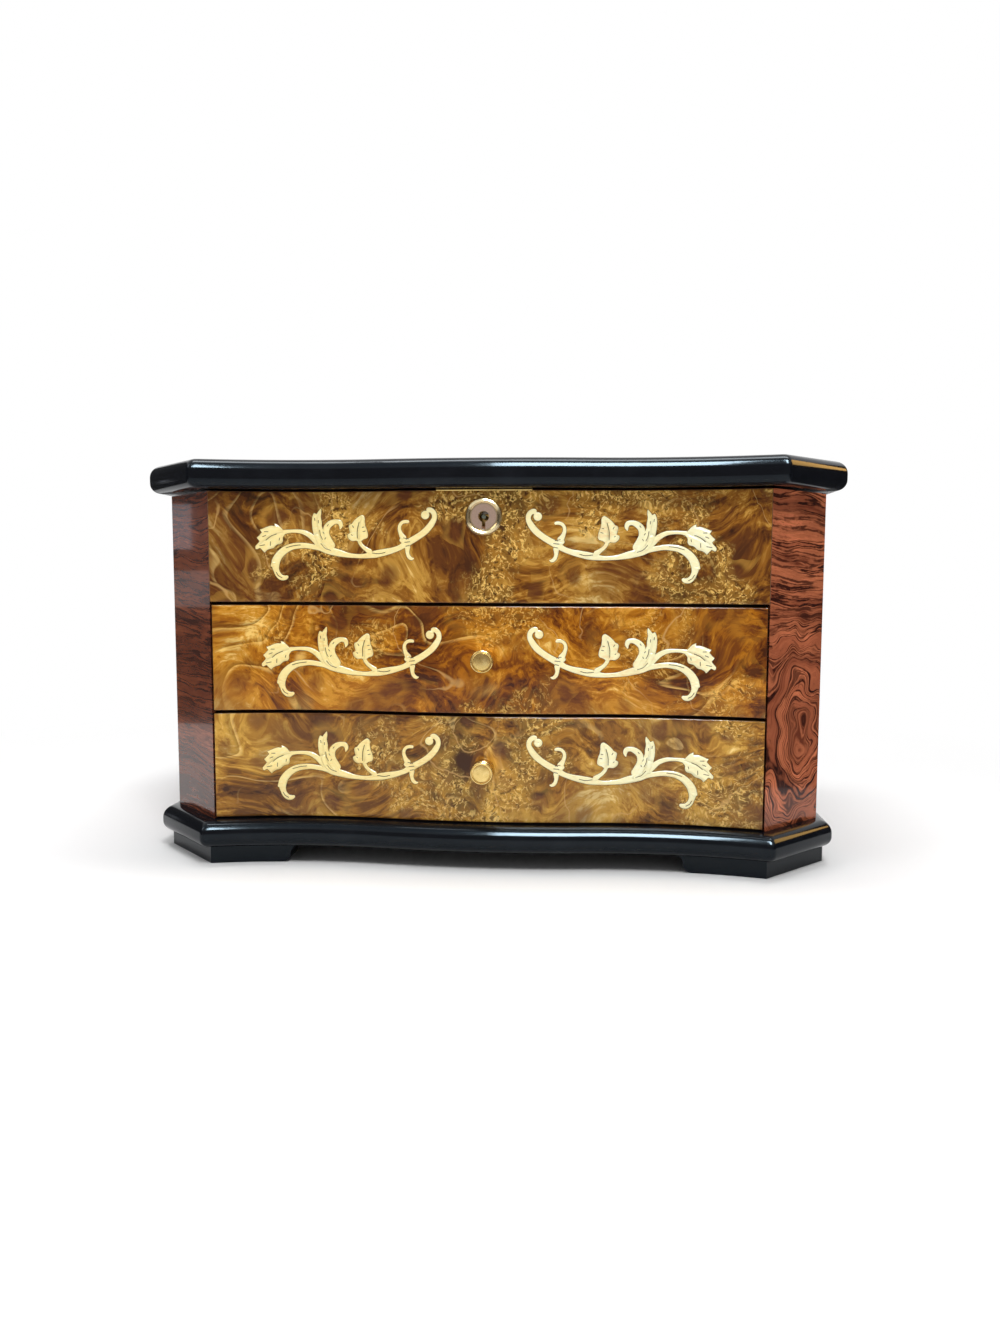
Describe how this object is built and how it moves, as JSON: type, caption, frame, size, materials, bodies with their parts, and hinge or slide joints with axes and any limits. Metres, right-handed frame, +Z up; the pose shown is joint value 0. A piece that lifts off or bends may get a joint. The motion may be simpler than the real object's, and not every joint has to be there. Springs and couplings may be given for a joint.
{
  "type": "jewelry chest",
  "caption": "Serpentine-front jewelry chest with canted corner posts, a hinged lid over a lined compartment, and knobbed drawers, in burl veneer and black lacquer.",
  "frame": {"origin": "on the floor under the middle of the chest, at the bottom centre of its box", "axes": "+X to the right along the width, +Y to the back, +Z up; the drawers open towards -Y"},
  "size_m": [0.318, 0.2, 0.1811],
  "materials": {
    "black_lacquer": "gloss lacquer",
    "rosewood_veneer": "gloss lacquer",
    "burl_veneer": "gloss lacquer",
    "stained_wood": "satin",
    "velvet": "pile",
    "polished_brass": "polished",
    "steel": "satin",
    "mirror_glass": "mirror"
  },
  "bodies": {
    "carcass": {"base_moulding": "black_lacquer", "foot_front_left": "black_lacquer", "foot_front_right": "black_lacquer", "foot_rear_left": "black_lacquer", "foot_rear_right": "black_lacquer", "side_panel_left": "rosewood_veneer", "side_panel_right": "rosewood_veneer", "corner_post_left": "rosewood_veneer", "corner_post_right": "rosewood_veneer", "back_panel": "stained_wood", "front_panel": "burl_veneer", "compartment_floor": "stained_wood", "drawer_shelf": "stained_wood", "lower_drawer_guides": "stained_wood", "upper_drawer_guides": "stained_wood", "lock_case": "polished_brass", "lock_key_pin": "steel", "lock_escutcheon": "polished_brass", "lock_screws": "polished_brass", "hinge_body_leaves": "polished_brass", "hinge_pins": "polished_brass", "hinge_body_screws": "polished_brass", "floor_pad": "velvet", "wall_lining": "velvet", "divider_long": "velvet", "divider_cross": "velvet", "divider_short": "velvet", "ring_rolls": "velvet"},
    "lid": {"lid_board": "black_lacquer", "lid_veneer": "burl_veneer", "lid_mirror": "mirror_glass", "mirror_frame": "velvet", "lock_strike": "polished_brass", "strike_screws": "polished_brass", "hinge_lid_leaves": "polished_brass", "hinge_lid_screws": "polished_brass"},
    "upper_drawer": {"upper_drawer_front": "burl_veneer", "upper_drawer_left_side": "stained_wood", "upper_drawer_right_side": "stained_wood", "upper_drawer_back": "stained_wood", "upper_drawer_bottom": "stained_wood", "upper_drawer_pad": "velvet", "upper_knob": "polished_brass", "upper_knob_screw": "steel"},
    "lower_drawer": {"lower_drawer_front": "burl_veneer", "lower_drawer_left_side": "stained_wood", "lower_drawer_right_side": "stained_wood", "lower_drawer_back": "stained_wood", "lower_drawer_bottom": "stained_wood", "lower_drawer_pad": "velvet", "lower_knob": "polished_brass", "lower_knob_screw": "steel"},
    "lock_bolt": {"lock_bolt": "steel"}
  },
  "joints": [
    {"name": "lid_hinge", "type": "hinge", "parent": "carcass", "child": "lid", "pos_m": [0, 0.09744, 0.1679], "axis": [-1, 0, 0], "range_deg": [0, 100]},
    {"name": "upper_drawer_slide", "type": "slide", "parent": "carcass", "child": "upper_drawer", "axis": [0, -1, 0], "range_m": [0, 0.115]},
    {"name": "lower_drawer_slide", "type": "slide", "parent": "carcass", "child": "lower_drawer", "axis": [0, -1, 0], "range_m": [0, 0.115]},
    {"name": "lock_bolt_slide", "type": "slide", "parent": "carcass", "child": "lock_bolt", "axis": [1, 0, 0], "range_m": [0, 0.004]}
  ]
}
